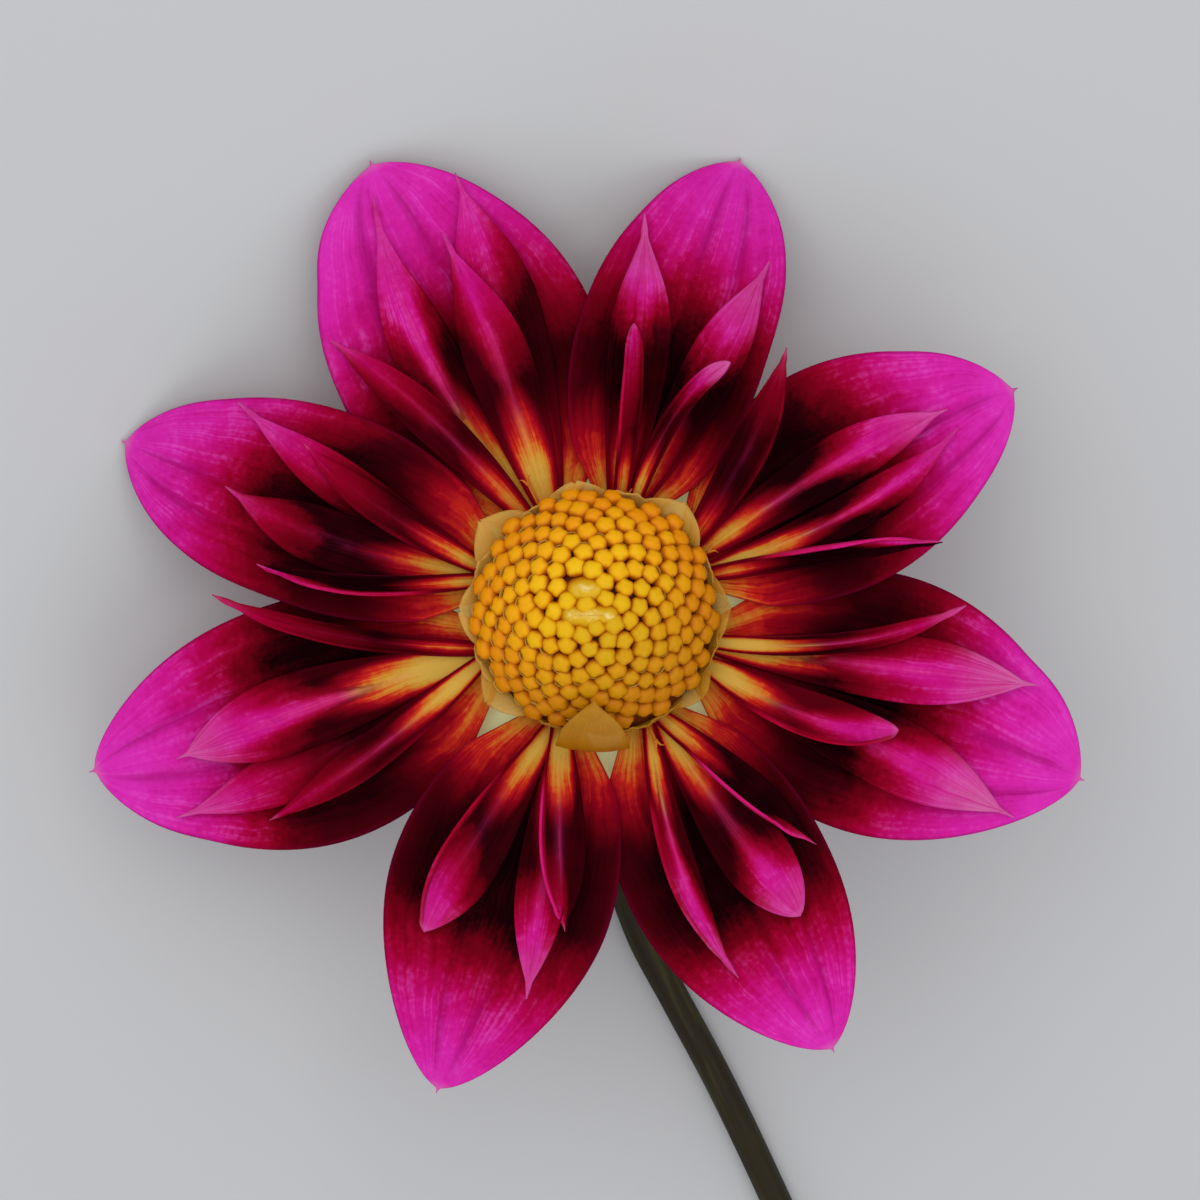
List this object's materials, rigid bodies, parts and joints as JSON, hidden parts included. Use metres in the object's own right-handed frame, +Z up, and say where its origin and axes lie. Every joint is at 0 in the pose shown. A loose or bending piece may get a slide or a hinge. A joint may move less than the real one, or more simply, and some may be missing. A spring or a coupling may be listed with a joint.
{
  "type": "collerette dahlia flower",
  "caption": "Picked collerette dahlia lying face up: broad magenta rays round a collar of narrow petaloids and a golden disc of closed florets, on a slender bending stem.",
  "frame": {"origin": "on the surface that the flower lies on, under the middle of its bounding box", "axes": "+Z up from the surface, +Y from the cut end of the stem towards the bloom, +X to the right of the bloom seen from above with the stem towards the viewer"},
  "size_m": [0.096, 0.157, 0.0347],
  "materials": {
    "ray": "soft satin petal",
    "disc_floret": "waxy satin",
    "disc_scale": "thin satin membrane",
    "inner_bract": "thin matt membrane",
    "receptacle": "matt green leaf",
    "stem": "matt, faintly ribbed"
  },
  "bodies": {
    "root": {"ray_floret_1": "ray", "ray_floret_2": "ray", "ray_floret_3": "ray", "ray_floret_4": "ray", "ray_floret_5": "ray", "ray_floret_6": "ray", "ray_floret_7": "ray", "ray_floret_8": "ray", "disc_florets": "disc_floret", "disc_scales": "disc_scale", "inner_bracts": "inner_bract", "receptacle": "receptacle", "stem": "stem"}
  },
  "joints": []
}
